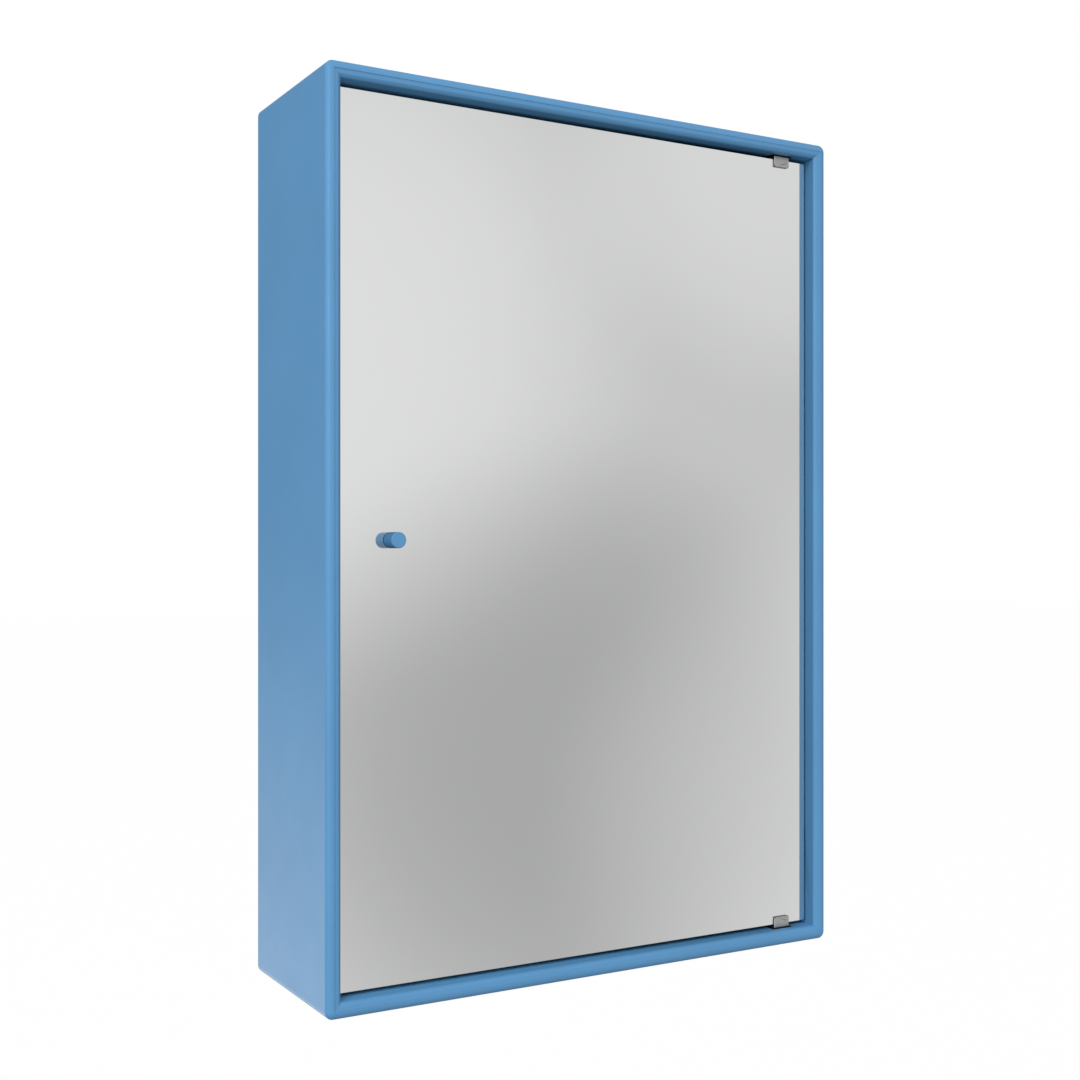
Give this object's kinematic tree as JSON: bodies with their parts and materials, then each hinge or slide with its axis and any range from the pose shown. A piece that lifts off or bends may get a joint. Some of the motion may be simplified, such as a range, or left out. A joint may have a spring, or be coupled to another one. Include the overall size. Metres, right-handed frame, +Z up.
{
  "type": "bathroom mirror cabinet",
  "caption": "Wall-hung bathroom cabinet with a blue mitred frame, inset frameless mirror door on pivot clamps, round knob, glass shelves and adjustable hangers.",
  "frame": {"origin": "on the wall, in the middle of the four wall screws of the two wall plates", "axes": "+X to the right seen from the front, +Y into the wall, the mirror faces -Y, +Z up"},
  "size_m": [0.468, 0.151, 0.696],
  "materials": {
    "lacquered_board": "satin blue lacquer on fibreboard",
    "tongue_wood": "planed hardwood",
    "mirror": "silvered float glass, polished edges",
    "safety_backing": "grey safety film",
    "satin_metal": "satin nickel",
    "zinc_steel": "bright zinc",
    "black_plastic": "moulded acetal",
    "white_plastic": "moulded housing",
    "clear_plastic": "clear soft plastic",
    "clear_rubber": "translucent silicone",
    "shelf_glass": "clear float glass, polished edges",
    "magnet_ferrite": "dark ferrite",
    "blue_metal": "blue lacquer"
  },
  "bodies": {
    "wall_hangers": {"wall_plate_left": "zinc_steel", "hook_left": "zinc_steel", "hook_nut_left": "zinc_steel", "wall_plate_right": "zinc_steel", "hook_right": "zinc_steel", "hook_nut_right": "zinc_steel"},
    "case": {"side_panel_left": "lacquered_board", "side_panel_right": "lacquered_board", "top_panel": "lacquered_board", "bottom_panel": "lacquered_board", "back_panel": "lacquered_board", "mitre_tongues": "tongue_wood", "pivot_socket_top": "black_plastic", "pivot_socket_bottom": "black_plastic", "catch_housing": "white_plastic", "catch_magnet": "magnet_ferrite", "catch_pole_plates": "zinc_steel", "catch_screws": "zinc_steel", "stop_pins": "zinc_steel", "stop_sleeves": "clear_rubber", "hanger_housing_left": "zinc_steel", "hanger_housing_right": "zinc_steel", "housing_screws_left": "zinc_steel", "housing_screws_right": "zinc_steel", "wall_bumpers": "clear_rubber", "shelf_1": "shelf_glass", "shelf_1_pins": "zinc_steel", "shelf_1_sleeves": "clear_plastic", "shelf_2": "shelf_glass", "shelf_2_pins": "zinc_steel", "shelf_2_sleeves": "clear_plastic"},
    "door": {"mirror_glass": "mirror", "mirror_backing": "safety_backing", "hinge_clamp_top": "satin_metal", "hinge_clamp_bottom": "satin_metal", "pivot_pins": "zinc_steel", "thrust_washer": "black_plastic", "clamp_screws": "zinc_steel", "clamp_pads": "black_plastic", "knob": "blue_metal", "knob_washer": "clear_plastic", "knob_bush": "black_plastic", "knob_screw": "zinc_steel", "strike_plate": "zinc_steel"},
    "height_screw_left": {"height_screw_left": "zinc_steel", "screw_ring_left": "zinc_steel"},
    "height_screw_right": {"height_screw_right": "zinc_steel", "screw_ring_right": "zinc_steel"}
  },
  "joints": [
    {"name": "height_adjust", "type": "slide", "parent": "wall_hangers", "child": "case", "axis": [0, 0, 1], "range_m": [-0.005, 0.005]},
    {"name": "door_hinge", "type": "hinge", "parent": "case", "child": "door", "pos_m": [0.193, -0.1335, -0.268], "axis": [0, 0, 1], "range_deg": [0, 145]},
    {"name": "height_screw_left_turn", "type": "hinge", "parent": "case", "child": "height_screw_left", "pos_m": [-0.213, -0.0452, -0.021], "axis": [0, 0, 1], "range_deg": [-1800, 1800]},
    {"name": "height_screw_right_turn", "type": "hinge", "parent": "case", "child": "height_screw_right", "pos_m": [0.213, -0.0452, -0.021], "axis": [0, 0, 1], "range_deg": [-1800, 1800]}
  ],
  "couplings": [
    {"joint": "height_screw_left_turn", "follows": "height_adjust", "rad_per_m": 6283.2},
    {"joint": "height_screw_right_turn", "follows": "height_adjust", "rad_per_m": 6283.2}
  ]
}
